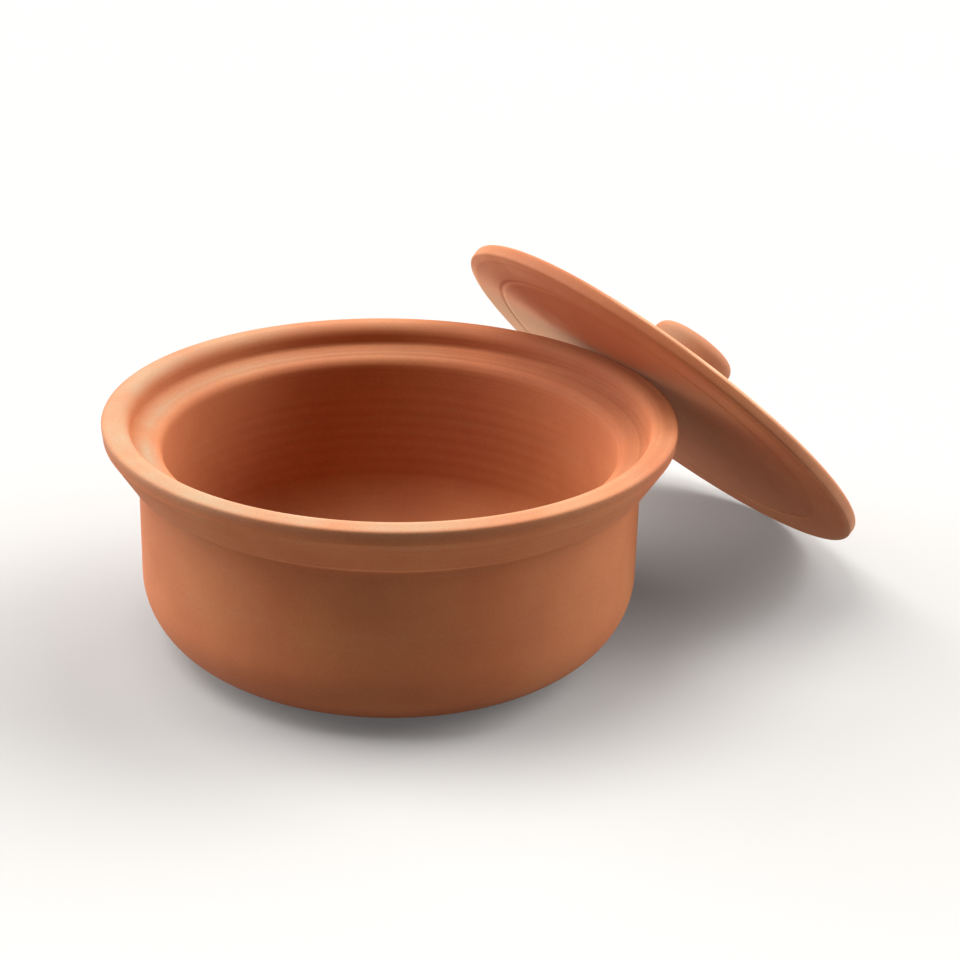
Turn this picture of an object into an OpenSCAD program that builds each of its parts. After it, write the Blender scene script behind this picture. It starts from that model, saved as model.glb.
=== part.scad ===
// Unglazed clay casserole: a round pot with a galleried rim, and its knobbed lid leaning on the rim.
// Every piece is turned about an axis. The pot stands on z = 0 with its axis on z, and the lid leans towards +x.

/* [Pot] */
// Outer diameter over the lip
rim_d = 260; // [250:1:300]
// Height from the table to the top of the lip
pot_h = 108.5; // [90:0.5:150]
// Outer diameter of the straight wall
body_d = 228.5; // [210:0.5:236]
// Thickness of the side wall
wall_t = 10.8; // [7:0.1:13]
// Thickness of the floor
floor_t = 10; // [6:0.5:14]
// Radius of the turn from the wall into the base
heel_r = 34.5; // [20:0.5:45]

/* [Rim] */
// Width of the lip across its top
lip_w = 12.5; // [9:0.5:15]
// Width of the level crest along the lip's inner edge
crest_w = 1.5; // [0.5:0.1:3]
// Fall of the lip's top from the crest to its outer edge
lip_fall = 0.5; // [0:0.1:1.5]
// Height of the lip's outer face, from the top of the lip to the crease under it
lip_h = 6.8; // [5:0.1:10]
// Taper of the lip's outer face down to the crease
lip_taper = 0.7; // [0:0.1:2]
// Height of the flare, from the crease down to its lower edge
flare_h = 16; // [10:0.1:22]
// Overhang of the flare's lower edge beyond the wall
flare_over = 4.8; // [2:0.1:7]
// Height in which the flare tucks in from its lower edge to the wall
tuck_h = 2.8; // [2:0.1:6]
// Depth of the gallery that holds the lid, below the top of the lip
gallery_h = 9.8; // [8:0.1:14]
// Fall of the gallery's ledge from the gallery to the inside of the wall
ledge_fall = 4.2; // [2:0.1:8]
// Rounding of the crease under the lip
crease_r = 0.6; // [0.3:0.1:2]
// Rounding of the flare's lower edge
flare_edge_r = 3; // [1:0.1:4]
// Rounding in the corner between the flare and the wall
cove_r = 1.5; // [0.5:0.1:2]
// Rounding of the lip's outer edge
lip_outer_r = 1; // [0.5:0.1:2]
// Rounding of the lip's inner edge
lip_inner_r = 5; // [0.5:0.1:5.5]
// Rounding where the gallery's wall meets its ledge
gallery_foot_r = 1.6; // [0.5:0.1:3.5]
// Rounding of the ledge's inner edge
ledge_edge_r = 4; // [1:0.1:5]

/* [Lid] */
// Free space around the lid when it lies in the gallery
lid_gap = 1.5; // [1:0.1:4]
// Thickness of the lid at its edge
lid_t = 7.4; // [6:0.1:12]
// Rounding of the lid's lower edge
lid_edge_r = 1.2; // [0.5:0.1:2]
// Rounding of the lid's upper edge
lid_top_r = 2.2; // [0.5:0.1:3]
// Width of the bevel around the lid's underside
bevel_w = 4.2; // [2:0.1:8]
// Height of the bevel at the lid's edge
bevel_h = 1.1; // [0.3:0.1:2]
// Rounding of the bevel's inner edge
bevel_edge_r = 6; // [1:0.5:8]
// Width of the land around the lid's underside, from its edge to the turned groove
land_w = 19; // [12:0.5:30]
// Width of the turned groove in the lid's underside
groove_w = 3.8; // [2:0.1:6]
// Depth of the turned groove
groove_h = 0.5; // [0.2:0.1:1]
// Rounding of the groove's edges and of its bottom
groove_r = 3; // [1:0.5:4]
// Width of the flat shoulder around the lid's top
shoulder_w = 9; // [4:0.5:15]
// Rise of the low dome from the shoulder to the knob's seat
dome_h = 4; // [2:0.1:12]

/* [Knob] */
// Diameter of the knob's head
knob_d = 45; // [43:0.5:56]
// Height of the knob above its seat
knob_h = 25.7; // [24:0.1:36]
// Height of the knob's head
head_h = 15; // [12:0.5:17]
// Diameter of the knob's neck
neck_d = 27; // [18:0.5:28]
// Rounding of the head's upper edge
head_top_r = 6; // [3:0.5:8]
// Rounding of the head's lower edge
head_under_r = 4.5; // [2:0.5:5]
// Rounding between the neck and the head
neck_top_r = 3; // [1:0.5:3.5]
// Width of the foot that is luted to the lid, around the neck
luting_w = 4; // [2:0.5:5]
// Margin of the flat seat around the foot of the knob
seat_margin = 2.5; // [1:0.5:8]

/* [Stance] */
// Tilt of the leaning lid from the level, in degrees
lean = 45.2; // [40:0.1:55]
// Clearance kept between the leaning lid and the lip
rest_gap = 0.3; // [0.2:0.1:1]

/* [Hidden] */
$fn = 160;

clay = [0.76, 0.47, 0.32];
clay_pale = [0.80, 0.52, 0.37];

// Pot, measured out from the axis and up from the table
rim_r = rim_d / 2;
body_r = body_d / 2;
inner_r = body_r - wall_t;
inner_heel_r = heel_r - wall_t;
gallery_r = rim_r - lip_w;
gallery_z = pot_h - gallery_h;
ledge_z = gallery_z - ledge_fall;
crest_r = gallery_r + lip_inner_r + crest_w;
crest = [crest_r, pot_h];
lip_edge = [rim_r, pot_h - lip_fall];
crease = [rim_r - lip_taper, pot_h - lip_h];
flare_edge = [body_r + flare_over, crease.y - flare_h];
wall_top = [body_r, flare_edge.y - tuck_h];

// Lid and knob, measured out from their own axis and up from the lid's underside
lid_r = gallery_r - lid_gap;
bevel_edge = [lid_r - bevel_w, 0];
lid_foot = [lid_r, bevel_h];
lid_top = [lid_r, lid_t];
land_r = lid_r - land_w;
shoulder_r = lid_r - shoulder_w;
knob_r = knob_d / 2;
neck_r = neck_d / 2;
foot_r = neck_r + luting_w;
seat_r = foot_r + seat_margin;
seat_z = lid_t + dome_h;
head_z = seat_z + knob_h - head_h;
dome_steps = 8;

// The leaning lid has its lower edge on the table and its underside on the lip: this is the centre of its underside
lid_foot_round = round_centre(bevel_edge, lid_foot, lid_top, lid_edge_r);
lip_round = round_centre(crease, lip_edge, crest, lip_outer_r);
lid_z = lid_foot_round * [sin(lean), -cos(lean)] + lid_edge_r;
lip_reach = lip_round * [sin(lean), cos(lean)] + lip_outer_r + rest_gap;
lid_x = (lip_reach - lid_z * cos(lean)) / sin(lean);

// The low dome climbs from the shoulder and is level where it reaches the seat
function dome_point(u) = [seat_r + u * (shoulder_r - seat_r), seat_z - u * u * dome_h, 0];

// The direction of p, one long
function unit(p) = p / norm(p);

// The centre of a rounding of radius r in the corner at v, between the ways to a and to b
function round_centre(a, v, b, r) =
  v + unit(unit(a - v) + unit(b - v)) * r / sqrt((1 - unit(a - v) * unit(b - v)) / 2);

// A point at distance d from a on the way to b
function along(a, b, d) = a + unit(b - a) * d;

// A corner of an outline, with its rounding
function corner(p, r) = [p.x, p.y, r];

// Length that a rounding of radius r takes from each side of the corner at v
function trim(a, v, b, r) = r * tan(acos((v - a) * (b - v) / norm(v - a) / norm(b - v)) / 2);

// The disc segment of radius r that swells to the right of the line from p to q
module bow(p, q, r) {
  chord = q - p;
  out = [chord.y, -chord.x] / norm(chord);
  centre = (p + q) / 2 - out * sqrt(r * r - chord * chord / 4);
  intersection() {
    translate(centre) circle(r);
    polygon([p, q, q + out * r, p + out * r]);
  }
}

// A closed outline with rounded corners, from a list of [radius, height, rounding] that runs counterclockwise
module rounded_outline(corners) {
  last = len(corners) - 1;
  at = [for (c = corners) [c.x, c.y]];
  before = [for (i = [0 : last]) at[i == 0 ? last : i - 1]];
  after = [for (i = [0 : last]) at[i == last ? 0 : i + 1]];
  turn = [for (i = [0 : last]) cross(at[i] - before[i], after[i] - at[i])];
  cut = [for (i = [0 : last]) trim(before[i], at[i], after[i], corners[i].z)];
  start = [for (i = [0 : last]) along(at[i], before[i], cut[i])];
  end = [for (i = [0 : last]) along(at[i], after[i], cut[i])];
  round_ones = [for (i = [0 : last]) if (corners[i].z > 0) i];
  difference() {
    union() {
      polygon([for (i = [0 : last]) each (corners[i].z > 0 ? [start[i], end[i]] : [at[i]])]);
      for (i = round_ones) if (turn[i] > 0) bow(start[i], end[i], corners[i].z);
    }
    for (i = round_ones) if (turn[i] < 0) bow(end[i], start[i], corners[i].z);
  }
}

// Stands a piece of the lid, drawn on the lid's own axis, where the lid leans
module leaning() {
  translate([lid_x, 0, lid_z]) rotate([0, lean, 0]) children();
}

module pot() {
  color(clay) rotate_extrude() rounded_outline([
    [0, 0, 0],
    [body_r, 0, heel_r],
    corner(wall_top, cove_r),
    corner(flare_edge, flare_edge_r),
    corner(crease, crease_r),
    corner(lip_edge, lip_outer_r),
    corner(crest, 0),
    [gallery_r, pot_h, lip_inner_r],
    [gallery_r, gallery_z, gallery_foot_r],
    [inner_r, ledge_z, ledge_edge_r],
    [inner_r, floor_t, inner_heel_r],
    [0, floor_t, 0]
  ]);
}

module lid() {
  color(clay_pale) leaning() rotate_extrude() rounded_outline([
    [0, 0, 0],
    [land_r - groove_w, 0, groove_r],
    [land_r - groove_w / 2, groove_h, groove_r],
    [land_r, 0, groove_r],
    corner(bevel_edge, bevel_edge_r),
    corner(lid_foot, lid_edge_r),
    corner(lid_top, lid_top_r),
    for (step = [dome_steps : -1 : 0]) dome_point(step / dome_steps),
    [0, seat_z, 0]
  ]);
}

module lid_knob() {
  color(clay) leaning() rotate_extrude() rounded_outline([
    [0, seat_z, 0],
    [foot_r, seat_z, 0],
    [neck_r, seat_z + luting_w, luting_w],
    [neck_r, head_z, neck_top_r],
    [knob_r, head_z, head_under_r],
    [knob_r, seat_z + knob_h, head_top_r],
    [0, seat_z + knob_h, 0]
  ]);
}

pot();
lid();
lid_knob();
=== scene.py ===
"""Unglazed clay casserole: a thrown pot, and its knobbed lid leaning on the rim, on a pale studio floor."""

import math
from collections import namedtuple

import bmesh
import bpy
from bpy.props import FloatProperty, FloatVectorProperty, IntProperty, PointerProperty
from mathutils import Matrix, Vector


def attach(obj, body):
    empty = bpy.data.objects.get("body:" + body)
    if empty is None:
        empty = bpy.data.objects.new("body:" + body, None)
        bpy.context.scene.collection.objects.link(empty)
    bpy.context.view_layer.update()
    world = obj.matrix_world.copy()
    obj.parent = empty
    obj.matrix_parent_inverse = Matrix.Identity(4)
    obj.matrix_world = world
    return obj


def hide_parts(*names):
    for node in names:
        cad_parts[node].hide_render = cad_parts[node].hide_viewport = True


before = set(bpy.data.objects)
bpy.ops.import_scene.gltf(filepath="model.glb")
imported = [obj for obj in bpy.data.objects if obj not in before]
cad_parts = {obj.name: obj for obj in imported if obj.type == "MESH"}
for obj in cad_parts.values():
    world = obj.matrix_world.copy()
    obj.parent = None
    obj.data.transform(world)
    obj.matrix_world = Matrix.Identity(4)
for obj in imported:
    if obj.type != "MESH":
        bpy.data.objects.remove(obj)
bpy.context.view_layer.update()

bl_info = {
    "name": "Clay Casserole",
    "version": (1, 0, 0),
    "blender": (4, 5, 0),
    "location": "View3D > Sidebar > Casserole",
    "description": "Throws an unglazed clay casserole and its lid, and sets them on a studio floor",
    "category": "Add Mesh",
}

MM = 0.001

# Fewest steps in a rounding, steps of the lid's low dome, and how many times shorter fine steps are
LEAST_STEPS = 4
DOME_STEPS = 8
FINER = 4
# Points nearer than this are one
MERGE = 0.001 * MM

# Sides of the pot, as the photo shows them: the one that the left lights reach, where paler edges are
# painted light, and the one with furrows
LIT_SIDE = Vector((-0.5, 0))
RIBBED_SIDE = Vector((0.5, -0.1))
# Sides of the lid that the photo shows paler, on the lid's own axes: of its upper edge, which is the side
# that faces the photo's camera and carries a painted highlight, of its edge's face, which carries painted
# light, of its underside, over the foot, and of its land, which carries painted light
TOP_HIGHLIGHT_SIDE = Vector((-0.583, -0.812))
FACE_LIT_SIDE = Vector((0.35, -0.94))
FOOT_SIDE = Vector((1, 0))
LAND_LIT_SIDE = Vector((-0.5, 0.87))

# A band of handling marks, painted light, painted shade, browning or furrows round a piece's axis, which
# fades from its middle to its reach
Band = namedtuple("Band", "radius height reach strength")
# A patch of painted light on the lid's underside, where bounced light falls, so many times flatter than it
# is wide
LitPatch = namedtuple("LitPatch", "middle radius flatness")


def linear(hex_colour):
    """An sRGB hex colour, such as #B87954, as linear red, green and blue."""
    parts = [int(hex_colour[i:i + 2], 16) / 255 for i in (1, 3, 5)]
    return tuple(p / 12.92 if p <= 0.04045 else ((p + 0.055) / 1.055) ** 2.4 for p in parts)


def length(name, description, default):
    """A property for a length, given in millimetres and kept in metres."""
    return FloatProperty(name=name, description=description, default=default * MM, min=0.0, unit="LENGTH")


def angle(name, description, default):
    """A property for an angle, given in degrees."""
    return FloatProperty(name=name, description=description, default=math.radians(default), subtype="ANGLE")


def strength(name, description, default):
    """A property for a light's strength."""
    return FloatProperty(name=name, description=description, default=default, min=0.0)


def colour(name, description, default):
    """A property for a colour, given as an sRGB hex value."""
    return FloatVectorProperty(name=name, description=description, default=linear(default), subtype="COLOR",
                               min=0.0, max=1.0)


class PotSizes(bpy.types.PropertyGroup):
    """Sizes of the thrown pot."""

    rim_d: length("Rim diameter", "Over the lip", 260)
    pot_h: length("Height", "From the table to the top of the lip", 108.5)
    body_d: length("Body diameter", "Outside the straight wall", 228.5)
    wall_t: length("Wall", "Thickness of the side wall", 10.8)
    floor_t: length("Floor", "Thickness of the floor", 10)
    heel_r: length("Heel", "Radius of the turn from the wall into the base", 34.5)
    lip_w: length("Lip", "Width of the lip across its top", 12.5)
    crest_w: length("Crest", "Width of the level crest along the lip's inner edge", 1.5)
    lip_fall: length("Lip fall", "Fall of the lip's top from the crest to its outer edge", 0.5)
    lip_h: length("Lip height", "From the top of the lip to the crease under it", 6.8)
    lip_taper: length("Lip taper", "Taper of the lip's outer face down to the crease", 0.7)
    flare_h: length("Flare height", "From the crease down to the flare's lower edge", 16)
    flare_over: length("Overhang", "Reach of the flare's lower edge beyond the wall", 4.8)
    tuck_h: length("Tuck", "Height in which the flare tucks in to the wall", 2.8)
    gallery_h: length("Gallery", "Depth of the gallery below the top of the lip", 9.8)
    ledge_fall: length("Ledge fall", "Fall of the gallery's ledge to the inside of the wall", 4.2)
    crease_r: length("Crease", "Rounding of the crease under the lip", 0.6)
    flare_edge_r: length("Flare edge", "Rounding of the flare's lower edge", 3)
    cove_r: length("Cove", "Rounding between the flare and the wall", 1.5)
    lip_outer_r: length("Outer lip edge", "Rounding of the lip's outer edge", 1)
    lip_inner_r: length("Inner lip edge", "Rounding of the lip's inner edge", 5)
    gallery_foot_r: length("Gallery foot", "Rounding where the gallery meets its ledge", 1.6)
    ledge_edge_r: length("Ledge edge", "Rounding of the ledge's inner edge", 4)
    ridge_pitch: length("Throwing ridges", "Rise of the finger ridges at each turn of the wheel", 6.5)
    ridge_h: length("Ridge height", "Height of the finger ridges inside the pot", 0.08)
    ridge_fade: length("Ridge fade", "Way in which the finger ridges rise and die out", 12)
    ridge_stop: length("Ridge stop", "Smooth wall left between the finger ridges and the ledge", 8)
    ring_pitch: length("Ledge rings", "Spacing of the rings that the rib left on the ledge", 3.4)
    ring_h: length("Ring height", "Height of the rings on the ledge", 0.05)
    ring_fade: length("Ring fade", "Way in which the rings on the ledge rise and die out", 3)


class LidSizes(bpy.types.PropertyGroup):
    """Sizes of the turned lid and of the way it leans."""

    gap: length("Play", "Free space around the lid in the gallery", 1.5)
    edge_t: length("Edge", "Thickness of the lid at its edge", 7.4)
    edge_r: length("Lower edge", "Rounding of the lid's lower edge", 1.2)
    top_r: length("Upper edge", "Rounding of the lid's upper edge", 2.2)
    bevel_w: length("Bevel", "Width of the bevel around the underside", 4.2)
    bevel_h: length("Bevel height", "Height of the bevel at the lid's edge", 1.1)
    bevel_edge_r: length("Bevel edge", "Rounding of the bevel's inner edge", 6)
    land_w: length("Land", "From the lid's edge to the turned groove in the underside", 19)
    groove_w: length("Groove", "Width of the turned groove", 3.8)
    groove_h: length("Groove depth", "Depth of the turned groove", 0.5)
    groove_r: length("Groove rounding", "Rounding of the groove's edges and bottom", 3)
    shoulder_w: length("Shoulder", "Width of the flat shoulder around the top", 9)
    dome_h: length("Dome", "Rise of the low dome to the knob's seat", 4)
    lean: angle("Lean", "Tilt of the lid from the level", 45.2)
    rest_gap: length("Rest", "Clearance between the leaning lid and the lip", 0.3)


class KnobSizes(bpy.types.PropertyGroup):
    """Sizes of the lid's knob."""

    head_d: length("Head diameter", "Over the knob's head", 45)
    knob_h: length("Height", "Above the knob's seat", 25.7)
    head_h: length("Head", "Height of the knob's head", 15)
    neck_d: length("Neck diameter", "At the knob's neck", 27)
    head_top_r: length("Upper edge", "Rounding of the head's upper edge", 6)
    head_under_r: length("Lower edge", "Rounding of the head's lower edge", 4.5)
    neck_top_r: length("Neck rounding", "Rounding between the neck and the head", 3)
    luting_w: length("Luting", "Width of the foot that is luted to the lid", 4)
    seat_margin: length("Seat margin", "Flat seat left around the knob's foot", 2.5)


class ClayLook(bpy.types.PropertyGroup):
    """Colours and patterns of the fired clay."""

    body: colour("Clay", "Fired body of the clay", "#AE693D")
    warm: colour("Warm clay", "Where the fire left it redder", "#A55B33")
    # The pale clay also stands for painted light on the pot's crest and ledge
    pale: colour("Pale clay", "Handled edges and dry slip", "#958B70")
    # Colour of the painted light on the lid: its painted highlight, its lit sides and its pale patch
    painted_light: colour("Bloom", "Dusty lime bloom from drying", "#F0BC92")
    # Colour of the browner bands, of the grain and the furrows, and of the painted shade on the lip's face
    # and the lid's edge
    shade_and_brown: colour("Toasted clay", "Bands that the fire darkened", "#6E391F")
    iron: colour("Iron specks", "Grog and iron grains in the clay", "#5C3222")
    cloud: length("Clouds", "Breadth of the clouds that the fire left", 70)
    patch: length("Patches", "Breadth of the patches that the sponge left", 25)
    ring: length("Rings", "Spacing of the rings that the wheel left", 2.4)
    grain: length("Grain", "Breadth of the sandy grain", 0.9)
    speck_pitch: length("Speck spacing", "Spacing of the iron specks", 7)
    relief: length("Relief", "Height of the rings and the grain", 0.08)


class StageLook(bpy.types.PropertyGroup):
    """Floor, lights and camera."""

    floor: colour("Floor", "Colour of the studio floor", "#8D8B89")
    glow: strength("Floor glow", "Light that comes up through the floor", 0.09)
    floor_r: length("Floor radius", "Reach of the studio floor", 9000)
    floor_gap: length("Floor gap", "Hair's breadth between the floor and the base", 0.2)
    top: strength("Top light", "Strength of the light high on the left", 4.0)
    bank: strength("Left bank", "Strength of the bank above the left softbox", 4.0)
    left: strength("Left light", "Strength of the low left softbox", 2.6)
    right: strength("Right light", "Strength of the right softbox", 5.3)
    back: strength("Back light", "Strength of the light behind, on the right", 2.8)
    heading: angle("Heading", "Camera's turn about the vertical", -35.69)
    pitch: angle("Pitch", "Camera's tilt below the level", 23.42)
    roll: angle("Roll", "Camera's turn about its own axis", 1.67)
    camera_at: FloatVectorProperty(name="Camera", description="Where the camera stands", unit="LENGTH",
                                   default=(-0.47954, -0.73785, 0.45627))
    lens: FloatProperty(name="Lens", description="Focal length in millimetres", default=78.16)
    sensor: FloatProperty(name="Sensor", description="Width of the sensor in millimetres", default=36)


class CasseroleSettings(bpy.types.PropertyGroup):
    """All that a user would change."""

    pot: PointerProperty(type=PotSizes)
    lid: PointerProperty(type=LidSizes)
    knob: PointerProperty(type=KnobSizes)
    clay: PointerProperty(type=ClayLook)
    stage: PointerProperty(type=StageLook)
    grain: length("Mesh grain", "Longest step along a turned outline", 2)
    around: IntProperty(name="Steps around", description="Steps of a full turn", default=200, min=24)


def turned(corners, grain, around, fine=None):
    """A solid turned about Z, from [radius, height, rounding] corners that run from the axis to the axis.

    Where fine says so of a radius and a height, the steps along the outline are a few times shorter.
    """
    bm = bmesh.new()
    chain = [bm.verts.new((radius, 0.0, height)) for radius, height, _ in corners]
    for start, end in zip(chain, chain[1:]):
        bm.edges.new((start, end))
    for i in range(1, len(corners) - 1):
        rounding = corners[i][2]
        if rounding > 0.0:
            before, at, after = (Vector(corner[:2]) for corner in corners[i - 1:i + 2])
            turn = (at - before).angle(after - at)
            bmesh.ops.bevel(bm, geom=[chain[i]], affect="VERTICES", offset_type="OFFSET",
                            offset=rounding * math.tan(turn / 2), clamp_overlap=False,
                            segments=max(LEAST_STEPS, math.ceil(rounding * turn / grain)), profile=0.5,
                            material=-1)
    for edge in bm.edges[:]:
        middle = (edge.verts[0].co + edge.verts[1].co) / 2
        step = grain / FINER if fine and fine(middle.x, middle.z) else grain
        cuts = int(edge.calc_length() / step)
        if cuts:
            bmesh.ops.subdivide_edges(bm, edges=[edge], cuts=cuts)
    bmesh.ops.spin(bm, geom=bm.verts[:] + bm.edges[:], cent=(0, 0, 0), axis=(0, 0, 1), angle=math.tau,
                   steps=around, use_merge=True)
    bmesh.ops.remove_doubles(bm, verts=bm.verts[:], dist=MERGE)
    bmesh.ops.recalc_face_normals(bm, faces=bm.faces[:])
    return bm


def mark(bm, name, bands, towards=(0, 0)):
    """Keeps in an attribute how near each point is to the nearest of some bands.

    The bands fade on the side away from towards, the more the longer that is: at a length of 1 they are gone
    a quarter turn away, and at a half they are gone only on the far side.
    """
    towards = Vector(towards)
    layer = bm.verts.layers.float.get(name) or bm.verts.layers.float.new(name)
    for vert in bm.verts:
        at = Vector((math.hypot(vert.co.x, vert.co.y), vert.co.z))
        side = max(0.0, 1.0 - towards.length + vert.co.xy.normalized().dot(towards))
        near = max(band.strength * (1.0 - (at - Vector((band.radius, band.height))).length / band.reach)
                   for band in bands)
        vert[layer] = max(vert[layer], side * min(1.0, near))


def piece(name, bm, material, body, node):
    """Makes a finished mesh an object that stands for a CAD node and rides on its body."""
    mesh = bpy.data.meshes.new(name)
    bm.to_mesh(mesh)
    bm.free()
    mesh.shade_smooth()
    mesh.materials.append(material)
    obj = bpy.data.objects.new(name, mesh)
    bpy.context.scene.collection.objects.link(obj)
    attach(obj, body)
    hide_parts(node)


def rim_points(pot):
    """The wall's top, flare's lower edge, crease, lip's edge and lip's crest, each as radius and height."""
    body_r, rim_r = pot.body_d / 2, pot.rim_d / 2
    crease = Vector((rim_r - pot.lip_taper, pot.pot_h - pot.lip_h))
    flare_edge = Vector((body_r + pot.flare_over, crease.y - pot.flare_h))
    wall_top = Vector((body_r, flare_edge.y - pot.tuck_h))
    lip_edge = Vector((rim_r, pot.pot_h - pot.lip_fall))
    crest = Vector((rim_r - pot.lip_w + pot.lip_inner_r + pot.crest_w, pot.pot_h))
    return wall_top, flare_edge, crease, lip_edge, crest


def lid_edge(settings):
    """The inner edge of the lid's bevel, its foot and the top of its edge, as radius and height."""
    pot, lid = settings.pot, settings.lid
    lid_r = pot.rim_d / 2 - pot.lip_w - lid.gap
    return Vector((lid_r - lid.bevel_w, 0)), Vector((lid_r, lid.bevel_h)), Vector((lid_r, lid.edge_t))


def round_centre(before, at, after, radius):
    """The centre of a rounding in the corner at a point, between the points before and after it."""
    back, on = (before - at).normalized(), (after - at).normalized()
    return at + (back + on).normalized() * radius / math.sqrt((1 - back.dot(on)) / 2)


def lid_place(settings):
    """Where the leaning lid stands, with its foot on the table and its underside on the lip."""
    pot, lid = settings.pot, settings.lid
    sin, cos = math.sin(lid.lean), math.cos(lid.lean)
    _, _, crease, lip_edge, crest = rim_points(pot)
    height = round_centre(*lid_edge(settings), lid.edge_r).dot(Vector((sin, -cos))) + lid.edge_r
    lip = round_centre(crease, lip_edge, crest, pot.lip_outer_r)
    reach = lip.dot(Vector((sin, cos))) + pot.lip_outer_r + lid.rest_gap
    return Vector(((reach - height * cos) / sin, 0.0, height))


def lean_matrix(settings):
    """Carries a piece drawn on the lid's own axis to where the lid leans."""
    return Matrix.Translation(lid_place(settings)) @ Matrix.Rotation(settings.lid.lean, 4, "Y")


def wheel_marks(bm, pot, inner_r, gallery_r, ledge_z, gallery_z):
    """Raises finger ridges inside the pot, from the floor's middle up, and the rib's rings on the ledge."""
    slack = 0.1 * MM
    wall_end = ledge_z - pot.ridge_stop
    for vert in bm.verts:
        radius, height = math.hypot(vert.co.x, vert.co.y), vert.co.z
        if pot.floor_t - slack < height < wall_end and radius < inner_r + slack:
            turn = math.atan2(vert.co.y, vert.co.x)
            fade = min(1.0, radius / pot.ridge_fade, (wall_end - height) / pot.ridge_fade)
            wave = math.sin(math.tau * (radius + height) / pot.ridge_pitch - turn)
            vert.co += vert.normal * pot.ridge_h * fade * wave
        elif ledge_z < height < gallery_z and inner_r < radius < gallery_r:
            # The rings start half a fade in from the ledge's edges
            from_edge = min(radius - inner_r, gallery_r - radius) / pot.ring_fade
            fade = max(0.0, min(1.0, from_edge - 0.5))
            vert.co += vert.normal * pot.ring_h * fade * math.sin(math.tau * radius / pot.ring_pitch)


def add(tree, kind, links=None, out=None, **settings):
    """Adds a node, sets it up, and fills its sockets with values or with other nodes' outputs.

    It gives back the output that is named, or else the node.
    """
    node = tree.nodes.new(kind)
    for key, value in settings.items():
        setattr(node, key, value)
    for key, value in (links or {}).items():
        if isinstance(value, bpy.types.NodeSocket):
            tree.links.new(value, node.inputs[key])
        else:
            node.inputs[key].default_value = value
    return node.outputs[out] if out else node


def lit_patch_cover(tree, own, patches, lit_patch):
    """How strongly the painted light shows: in a flat patch with a soft, ragged edge."""
    flat = add(tree, "ShaderNodeVectorMath", {0: own, 1: (1, 1, lit_patch.flatness)}, "Vector",
               operation="MULTIPLY")
    away = add(tree, "ShaderNodeVectorMath", {0: flat, 1: lit_patch.middle}, "Value", operation="DISTANCE")
    ragged = add(tree, "ShaderNodeMath", {0: patches, 1: lit_patch.radius * 0.5, 2: away}, "Value",
                 operation="MULTIPLY_ADD")
    return add(tree, "ShaderNodeMapRange", {"Value": ragged, "From Min": lit_patch.radius * 0.6,
                                            "From Max": lit_patch.radius * 1.4, "To Min": 0.95, "To Max": 0.0},
               "Result", interpolation_type="SMOOTHSTEP")


def iron_specks(tree, own, pitch):
    """Where iron specks lie: each about a tenth of their spacing across, in every fifth cell."""
    cells = add(tree, "ShaderNodeTexVoronoi", {"Vector": own, "Scale": 1 / pitch}).outputs
    speck = add(tree, "ShaderNodeMapRange", {"Value": cells["Distance"], "From Min": 0.03, "From Max": 0.09,
                                             "To Min": 0.35, "To Max": 0.0}, "Result")
    chance = add(tree, "ShaderNodeSeparateColor", {"Color": cells["Color"]}, "Red")
    chosen = add(tree, "ShaderNodeMath", {0: chance, 1: 0.8}, "Value", operation="GREATER_THAN")
    return add(tree, "ShaderNodeMath", {0: speck, 1: chosen}, "Value", operation="MULTIPLY")


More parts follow.
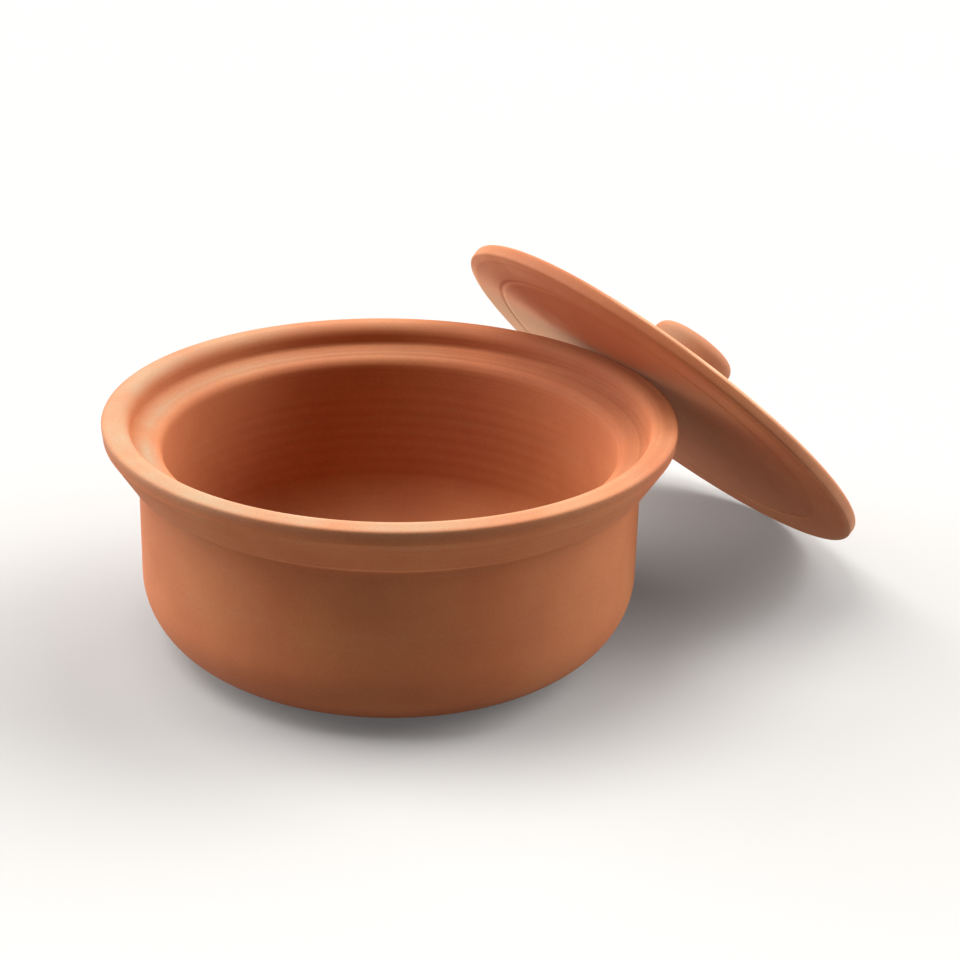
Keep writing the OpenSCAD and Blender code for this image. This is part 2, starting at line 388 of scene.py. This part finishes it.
def terracotta(name, look, edge, centre=(0, 0, 0), lean=0.0, lit_patch=None):
    """Terracotta, thrown or turned, sponged and fired without a glaze.

    To the eye: a dry, matt, orange-brown skin with faint rings from the wheel, soft clouds of redder and
    paler clay, a fine sandy grain, a few iron specks, edges that are paler from handling and as painted
    light, and browner bands, some of them painted shade. Marked edges turn to the colour edge. Painted
    light, where given, lies on the underside as a pale patch.
    """
    mat = bpy.data.materials.new(name)
    mat.use_nodes = True
    tree = mat.node_tree
    tree.nodes.clear()
    body, warm, pale, painted_light, shade_and_brown, iron, rubbed_and_lit = (
        (*c, 1.0) for c in (look.body, look.warm, look.pale, look.painted_light, look.shade_and_brown, look.iron, edge))

    # The piece's own axes, and the way out from its axis and up along it, which the wheel's rings follow
    spot = add(tree, "ShaderNodeTexCoord", out="Object")
    own = add(tree, "ShaderNodeMapping", {"Vector": spot, "Location": centre, "Rotation": (0, lean, 0)},
              "Vector", vector_type="TEXTURE")
    xyz = add(tree, "ShaderNodeSeparateXYZ", {"Vector": own}).outputs
    across = add(tree, "ShaderNodeCombineXYZ", {"X": xyz["X"], "Y": xyz["Y"]}, "Vector")
    radius = add(tree, "ShaderNodeVectorMath", {0: across}, "Value", operation="LENGTH")
    wheel = add(tree, "ShaderNodeCombineXYZ", {"X": radius, "Z": xyz["Z"]}, "Vector")

    # Clouds, patches, rings and a sandy grain, which is coarser than real grog so that it shows
    clouds = add(tree, "ShaderNodeTexNoise",
                 {"Vector": own, "Scale": 1 / look.cloud, "Detail": 4.0, "Roughness": 0.55}, "Fac")
    patches = add(tree, "ShaderNodeTexNoise", {"Vector": own, "Scale": 1 / look.patch, "Detail": 3.0}, "Fac")
    rings = add(tree, "ShaderNodeTexNoise",
                {"Vector": wheel, "Scale": 1 / look.ring, "Detail": 3.0, "Roughness": 0.6}, "Fac")
    grain = add(tree, "ShaderNodeTexNoise", {"Vector": own, "Scale": 1 / look.grain, "Detail": 2.0}, "Fac")

    # The fire leaves redder clouds
    cloudy = add(tree, "ShaderNodeMapRange", {"Value": clouds, "From Min": 0.36, "From Max": 0.66}, "Result")
    skin = add(tree, "ShaderNodeMix", {"Factor": cloudy, "A": warm, "B": body}, "Result", data_type="RGBA")
    # Rings show only in patches, where the sponge left them
    ring_on = add(tree, "ShaderNodeMapRange",
                  {"Value": patches, "From Min": 0.4, "From Max": 0.68, "To Max": 0.16}, "Result")
    ring_pale = add(tree, "ShaderNodeMapRange",
                    {"Value": rings, "From Min": 0.5, "From Max": 0.75}, "Result")
    ringed = add(tree, "ShaderNodeMath", {0: ring_on, 1: ring_pale}, "Value", operation="MULTIPLY")
    skin = add(tree, "ShaderNodeMix", {"Factor": ringed, "A": skin, "B": pale}, "Result", data_type="RGBA")
    # Marked edges are paler, from handling and as painted light and painted highlights, more in some patches
    # than in others
    worn_and_lit = add(tree, "ShaderNodeAttribute", out="Fac", attribute_name="worn_and_lit")
    uneven = add(tree, "ShaderNodeMath", {0: patches, 1: 1.1}, "Value", operation="MULTIPLY")
    wear_and_light = add(tree, "ShaderNodeMath", {0: worn_and_lit, 1: uneven}, "Value", operation="MULTIPLY")
    skin = add(tree, "ShaderNodeMix", {"Factor": wear_and_light, "A": skin, "B": rubbed_and_lit}, "Result", data_type="RGBA")
    # Browner bands, among them painted shade on the lip's face and the lid's edge, and the grain and the
    # furrows left by the rib are browner too
    shaded_and_browned = add(tree, "ShaderNodeAttribute", out="Fac", attribute_name="shaded_and_browned")
    bands = add(tree, "ShaderNodeMapRange", {"Value": shaded_and_browned, "To Max": 0.5}, "Result")
    sand = add(tree, "ShaderNodeMapRange",
               {"Value": grain, "From Min": 0.45, "From Max": 0.75, "To Max": 0.16}, "Result")
    ribbed = add(tree, "ShaderNodeAttribute", out="Fac", attribute_name="ribbed")
    furrows = add(tree, "ShaderNodeMapRange",
                  {"Value": rings, "From Min": 0.58, "From Max": 0.36, "To Max": ribbed}, "Result")
    brown = add(tree, "ShaderNodeMath", {0: bands, 1: sand}, "Value", operation="ADD")
    brown = add(tree, "ShaderNodeMath", {0: brown, 1: furrows}, "Value", operation="ADD")
    skin = add(tree, "ShaderNodeMix", {"Factor": brown, "A": skin, "B": shade_and_brown}, "Result", data_type="RGBA")
    if lit_patch:
        # A pale patch of painted light on the underside, where bounced light falls
        lit_cover = lit_patch_cover(tree, own, patches, lit_patch)
        skin = add(tree, "ShaderNodeMix",
                   {"Factor": lit_cover, "A": skin, "B": painted_light}, "Result", data_type="RGBA")
    specks = iron_specks(tree, own, look.speck_pitch)
    skin = add(tree, "ShaderNodeMix", {"Factor": specks, "A": skin, "B": iron}, "Result", data_type="RGBA")

    # Rings and grain stand out a little, and the grain is dry
    ring_lift = add(tree, "ShaderNodeMath", {0: rings, 1: patches}, "Value", operation="MULTIPLY")
    height = add(tree, "ShaderNodeMath",
                 {0: grain, 1: 0.35, 2: ring_lift}, "Value", operation="MULTIPLY_ADD")
    bump = add(tree, "ShaderNodeBump",
               {"Height": height, "Strength": 1.0, "Distance": look.relief}, "Normal")
    dry = add(tree, "ShaderNodeMapRange", {"Value": grain, "To Min": 0.78, "To Max": 0.94}, "Result")
    shader = add(tree, "ShaderNodeBsdfPrincipled", {
        "Base Color": skin, "Roughness": dry, "Normal": bump, "IOR": 1.5, "Specular IOR Level": 0.35,
        "Diffuse Roughness": 0.6}, "BSDF")
    add(tree, "ShaderNodeOutputMaterial", {"Surface": shader})
    return mat


def opal_acrylic(look):
    """Opal acrylic, sanded matt and lit a little from below: even and pale, with a faint cloudiness."""
    mat = bpy.data.materials.new("Backlit opal acrylic")
    mat.use_nodes = True
    tree = mat.node_tree
    tree.nodes.clear()
    spot = add(tree, "ShaderNodeTexCoord", out="Object")
    cloud = add(tree, "ShaderNodeTexNoise", {"Vector": spot, "Scale": 1.5}, "Fac")
    tone = add(tree, "ShaderNodeMapRange", {"Value": cloud, "To Min": 0.97, "To Max": 1.0}, "Result")
    paint = add(tree, "ShaderNodeMix", {"Factor": tone, "B": (*look.floor, 1.0)}, "Result", data_type="RGBA")
    shader = add(tree, "ShaderNodeBsdfPrincipled", {
        "Base Color": paint, "Roughness": 0.95, "Specular IOR Level": 0.1, "Emission Color": (1, 1, 1, 1),
        "Emission Strength": look.glow}, "BSDF")
    add(tree, "ShaderNodeOutputMaterial", {"Surface": shader})
    return mat


class CASSEROLE_OT_pot(bpy.types.Operator):
    """Throw the pot, with its galleried rim"""

    bl_idname = "casserole.pot"
    bl_label = "Throw Pot"

    def execute(self, context):
        settings = context.scene.casserole
        pot, look = settings.pot, settings.clay
        rim_r, body_r = pot.rim_d / 2, pot.body_d / 2
        gallery_r, inner_r = rim_r - pot.lip_w, body_r - pot.wall_t
        gallery_z = pot.pot_h - pot.gallery_h
        ledge_z = gallery_z - pot.ledge_fall
        wall_top, flare_edge, crease, lip_edge, crest = rim_points(pot)
        bm = turned([
            (0, 0, 0),
            (body_r, 0, pot.heel_r),
            (*wall_top, pot.cove_r),
            (*flare_edge, pot.flare_edge_r),
            (*crease, pot.crease_r),
            (*lip_edge, pot.lip_outer_r),
            (*crest, 0),
            (gallery_r, pot.pot_h, pot.lip_inner_r),
            (gallery_r, gallery_z, pot.gallery_foot_r),
            (inner_r, ledge_z, pot.ledge_edge_r),
            (inner_r, pot.floor_t, pot.heel_r - pot.wall_t),
            (0, pot.floor_t, 0),
        ], settings.grain, settings.around, lambda r, z: ledge_z < z < gallery_z and r < gallery_r)

        # The crest, the ledge and the foot are paler, from handling and as painted light that fades away
        # from the side the left lights reach; the lip's face is browner as painted shade, and the heel is
        # browner
        lip_face = (lip_edge + crease) / 2
        mark(bm, "worn_and_lit", [
            Band(radius=crest.x, height=pot.pot_h + 2 * MM, reach=9 * MM, strength=1.8),
            Band(radius=(gallery_r + inner_r) / 2, height=gallery_z - 2 * MM, reach=7 * MM, strength=0.9),
            Band(radius=body_r - pot.heel_r, height=0, reach=9 * MM, strength=1.0),
        ], LIT_SIDE)
        # Painted shade on the lip's face, all round, and a browner heel near the base
        mark(bm, "shaded_and_browned", [
            Band(radius=lip_face.x + 2 * MM, height=lip_face.y, reach=4.4 * MM, strength=1.1),
            Band(radius=body_r - pot.heel_r / 4, height=0, reach=16 * MM, strength=0.6),
        ])
        mark(bm, "ribbed", [
            Band(radius=gallery_r - 4 * MM, height=gallery_z, reach=26 * MM, strength=0.38),
        ], RIBBED_SIDE)
        wheel_marks(bm, pot, inner_r, gallery_r, ledge_z, gallery_z)
        clay = terracotta("Thrown terracotta", look, look.pale)
        piece("thrown_pot", bm, clay, body="pot", node="pot")
        return {"FINISHED"}


class CASSEROLE_OT_lid(bpy.types.Operator):
    """Turn the lid, and lean it on the pot's lip"""

    bl_idname = "casserole.lid"
    bl_label = "Turn Lid"

    def execute(self, context):
        settings = context.scene.casserole
        lid, knob, look = settings.lid, settings.knob, settings.clay
        bevel_edge, foot, top = lid_edge(settings)
        lid_r = foot.x
        land_r = lid_r - lid.land_w
        seat_r = knob.neck_d / 2 + knob.luting_w + knob.seat_margin
        dome_w = lid_r - lid.shoulder_w - seat_r
        # The dome is level where it reaches the seat, and steepest at the shoulder
        dome = [(seat_r + way * dome_w, lid.edge_t + lid.dome_h * (1 - way * way), 0)
                for way in (step / DOME_STEPS for step in range(DOME_STEPS, -1, -1))]
        bm = turned([
            (0, 0, 0),
            (land_r - lid.groove_w, 0, lid.groove_r),
            (land_r - lid.groove_w / 2, lid.groove_h, lid.groove_r),
            (land_r, 0, lid.groove_r),
            (*bevel_edge, lid.bevel_edge_r),
            (*foot, lid.edge_r),
            (*top, lid.top_r),
            *dome,
            (0, lid.edge_t + lid.dome_h, 0),
        ], settings.grain, settings.around, lambda r, z: z < lid.groove_h and r < bevel_edge.x)

        # The upper edge, the land, the underside and the edge's face are paler, each on a side of its own: a
        # painted highlight along the upper edge, painted light on the land and on the edge's face, and a
        # faint paler veil over the foot; and the edge's face is browner all round as painted shade
        middle_z = lid.edge_t / 2
        # Painted highlight along the upper edge, strongest on the side towards the camera
        mark(bm, "worn_and_lit", [Band(*top, reach=2.2 * MM, strength=3.0)], 4 * TOP_HIGHLIGHT_SIDE)
        # Painted light on the land, on one side
        mark(bm, "worn_and_lit", [
            Band(radius=lid_r - lid.land_w / 2, height=-3 * MM, reach=15 * MM, strength=1.0),
        ], LAND_LIT_SIDE)
        mark(bm, "worn_and_lit", [
            Band(radius=lid_r - 30 * MM, height=-10 * MM, reach=60 * MM, strength=0.1),
        ], FOOT_SIDE)
        # Painted light on one end of the edge's face
        mark(bm, "worn_and_lit", [
            Band(radius=lid_r + 2 * MM, height=middle_z, reach=6 * MM, strength=0.7),
        ], 2 * FACE_LIT_SIDE)
        # Painted shade on the edge's face, all round
        mark(bm, "shaded_and_browned", [
            Band(radius=lid_r + 2 * MM, height=middle_z - 0.5 * MM, reach=4.5 * MM, strength=0.85),
        ])
        bm.transform(lean_matrix(settings))
        # The pale patch on the underside is painted light, where bounced light falls
        lit_patch = LitPatch(middle=(-20 * MM, 80 * MM, 0), radius=63 * MM, flatness=10)
        clay = terracotta("Turned terracotta", look, look.painted_light, lid_place(settings), lid.lean, lit_patch)
        piece("leaning_lid", bm, clay, body="lid", node="lid")
        return {"FINISHED"}


class CASSEROLE_OT_knob(bpy.types.Operator):
    """Turn the knob, and lute it to the lid"""

    bl_idname = "casserole.knob"
    bl_label = "Turn Knob"

    def execute(self, context):
        settings = context.scene.casserole
        lid, knob, look = settings.lid, settings.knob, settings.clay
        seat_z = lid.edge_t + lid.dome_h
        head_z, top_z = seat_z + knob.knob_h - knob.head_h, seat_z + knob.knob_h
        head_r, neck_r = knob.head_d / 2, knob.neck_d / 2
        bm = turned([
            (0, seat_z, 0),
            (neck_r + knob.luting_w, seat_z, 0),
            (neck_r, seat_z + knob.luting_w, knob.luting_w),
            (neck_r, head_z, knob.neck_top_r),
            (head_r, head_z, knob.head_under_r),
            (head_r, top_z, knob.head_top_r),
            (0, top_z, 0),
        ], settings.grain / 2, settings.around // 2)
        mark(bm, "worn_and_lit", [Band(radius=head_r, height=top_z - knob.head_h / 2, reach=14 * MM, strength=0.7)])
        mark(bm, "shaded_and_browned", [Band(radius=neck_r, height=seat_z, reach=6 * MM, strength=0.4)])
        bm.transform(lean_matrix(settings))
        clay = terracotta("Turned terracotta, knob", look, look.pale, lid_place(settings), lid.lean)
        piece("luted_knob", bm, clay, body="lid", node="lid_knob")
        return {"FINISHED"}


class CASSEROLE_OT_stage(bpy.types.Operator):
    """Set the floor, the lights and the camera"""

    bl_idname = "casserole.stage"
    bl_label = "Set Stage"

    def execute(self, context):
        scene = context.scene
        look = scene.casserole.stage

        bm = bmesh.new()
        bmesh.ops.create_circle(bm, cap_ends=True, segments=96, radius=look.floor_r)
        bmesh.ops.translate(bm, verts=bm.verts[:], vec=(0, 0, -look.floor_gap))
        mesh = bpy.data.meshes.new("studio_floor")
        bm.to_mesh(mesh)
        bm.free()
        mesh.materials.append(opal_acrylic(look))
        floor = bpy.data.objects.new("studio_floor", mesh)
        scene.collection.objects.link(floor)

        # Broad lights, each with its bearing from the camera's side, its height and its spread in degrees
        camera_side = look.heading - math.pi / 2
        for name, power, bearing, height, spread in (
            ("top_light", look.top, -90, 70, 40),
            ("left_bank", look.bank, -105, 30, 50),
            ("left_softbox", look.left, -107, 6, 40),
            ("right_softbox", look.right, 105, 30, 50),
            ("back_light", look.back, 135, 52, 50),
        ):
            lamp = bpy.data.lights.new(name, "SUN")
            lamp.energy = power
            lamp.angle = math.radians(spread)
            obj = bpy.data.objects.new(name, lamp)
            side, up = camera_side + math.radians(bearing), math.radians(height)
            to_light = Vector((math.cos(side) * math.cos(up), math.sin(side) * math.cos(up), math.sin(up)))
            obj.rotation_euler = to_light.to_track_quat("Z", "Y").to_euler()
            scene.collection.objects.link(obj)

        # Past the floor's edge the studio is as white as the far floor, and gives no light of its own
        world = bpy.data.worlds.new("pale_studio")
        world.use_nodes = True
        far = world.node_tree.nodes["Background"]
        far.inputs["Color"].default_value = (1, 1, 1, 1)
        seen = add(world.node_tree, "ShaderNodeLightPath", out="Is Camera Ray")
        world.node_tree.links.new(seen, far.inputs["Strength"])
        scene.world = world

        cam = bpy.data.cameras.new("camera")
        cam.lens = look.lens
        cam.sensor_width = look.sensor
        cam.clip_start, cam.clip_end = 0.05, 50
        obj = bpy.data.objects.new("camera", cam)
        turn = (Matrix.Rotation(look.heading, 4, "Z") @ Matrix.Rotation(math.pi / 2 - look.pitch, 4, "X")
                @ Matrix.Rotation(look.roll, 4, "Z"))
        obj.matrix_world = Matrix.Translation(look.camera_at) @ turn
        scene.collection.objects.link(obj)
        scene.camera = obj
        scene.view_settings.view_transform = "Standard"
        scene.view_settings.look = "None"
        return {"FINISHED"}


class CASSEROLE_PT_panel(bpy.types.Panel):
    """Lists the pieces, their sizes and their looks"""

    bl_label = "Clay Casserole"
    bl_idname = "CASSEROLE_PT_panel"
    bl_space_type = "VIEW_3D"
    bl_region_type = "UI"
    bl_category = "Casserole"

    def draw(self, context):
        settings = context.scene.casserole
        for operator, groups in (
            (CASSEROLE_OT_pot, (settings.pot, settings.clay)),
            (CASSEROLE_OT_lid, (settings.lid,)),
            (CASSEROLE_OT_knob, (settings.knob,)),
            (CASSEROLE_OT_stage, (settings.stage,)),
        ):
            box = self.layout.box()
            box.operator(operator.bl_idname)
            for group in groups:
                for key in group.__annotations__:
                    box.prop(group, key)
        self.layout.prop(settings, "grain")
        self.layout.prop(settings, "around")


CLASSES = (
    PotSizes, LidSizes, KnobSizes, ClayLook, StageLook, CasseroleSettings,
    CASSEROLE_OT_pot, CASSEROLE_OT_lid, CASSEROLE_OT_knob, CASSEROLE_OT_stage, CASSEROLE_PT_panel,
)


def register():
    """Registers the classes, and gives each scene the settings."""
    for cls in CLASSES:
        bpy.utils.register_class(cls)
    bpy.types.Scene.casserole = PointerProperty(type=CasseroleSettings)


def unregister():
    """Takes back what register added."""
    del bpy.types.Scene.casserole
    for cls in reversed(CLASSES):
        bpy.utils.unregister_class(cls)


def main():
    """Builds the scene."""
    register()
    bpy.ops.casserole.stage()
    bpy.ops.casserole.pot()
    bpy.ops.casserole.lid()
    bpy.ops.casserole.knob()


if __name__ == "__main__":
    main()
